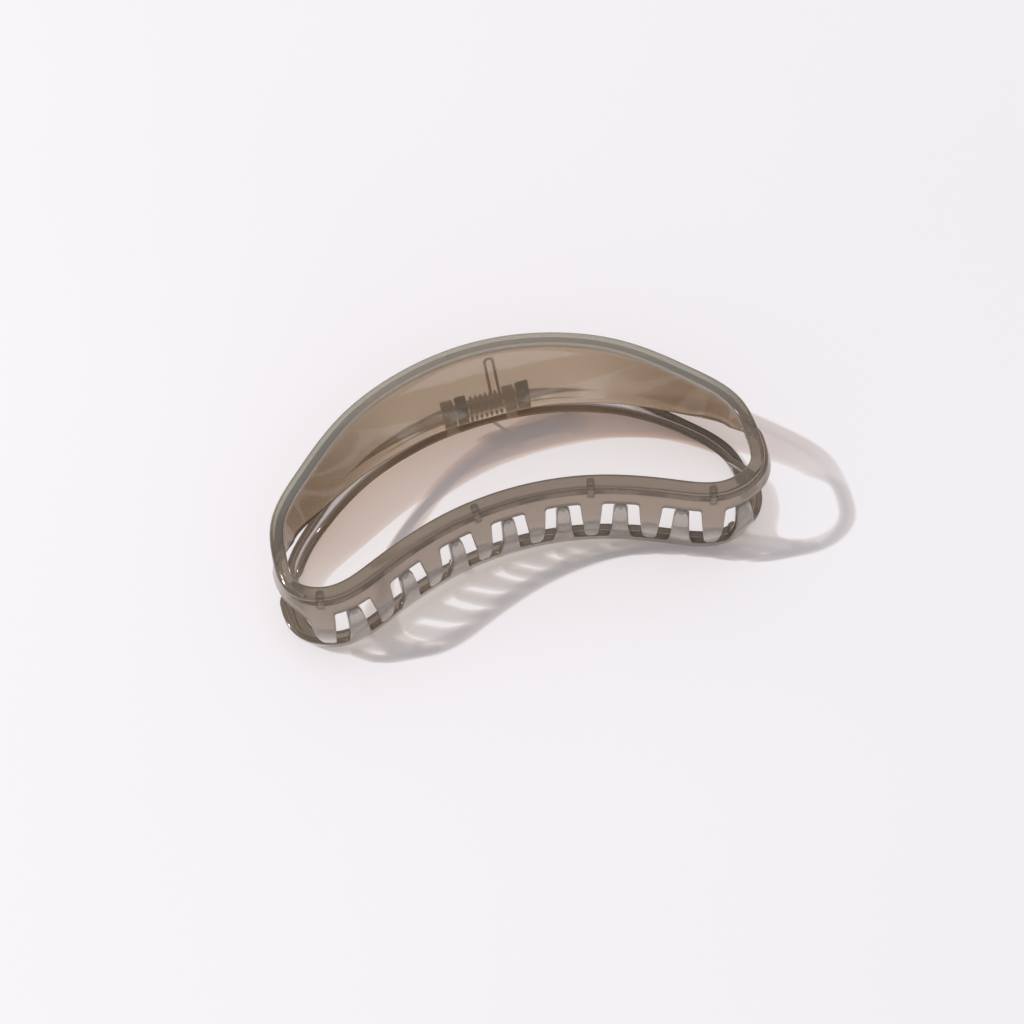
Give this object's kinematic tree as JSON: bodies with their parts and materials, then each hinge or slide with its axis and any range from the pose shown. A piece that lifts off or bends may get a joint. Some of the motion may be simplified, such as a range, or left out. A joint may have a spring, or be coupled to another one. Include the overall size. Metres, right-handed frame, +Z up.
{
  "type": "hair claw clip",
  "caption": "Crescent-shaped claw clip for the hair: translucent toothed jaws sprung shut about a hinge pin and opened by squeezing their back panels.",
  "frame": {"origin": "on the surface the clip lies on, under the middle of its bounding box", "axes": "+X along the clip from end to end, +Y from the toothed hollow front to the hinge side, +Z up, out of the upper jaw's rim"},
  "size_m": [0.1288, 0.0608, 0.0369],
  "materials": {
    "smoke_plastic": "glossy translucent smoke-brown moulded plastic",
    "spring_steel": "dark oiled spring wire"
  },
  "bodies": {
    "lower": {"lower_jaw": "smoke_plastic", "hinge_pin": "spring_steel", "torsion_spring": "spring_steel"},
    "upper": {"upper_jaw": "smoke_plastic"}
  },
  "joints": [
    {"name": "jaw_hinge", "type": "hinge", "parent": "lower", "child": "upper", "pos_m": [0, 0.02163, 0.01845], "axis": [-1, 0, 0], "range_deg": [0, 65], "stiffness_Nm_per_rad": 0.06, "springref_deg": -45.84, "deforming": ["torsion_spring"]}
  ]
}
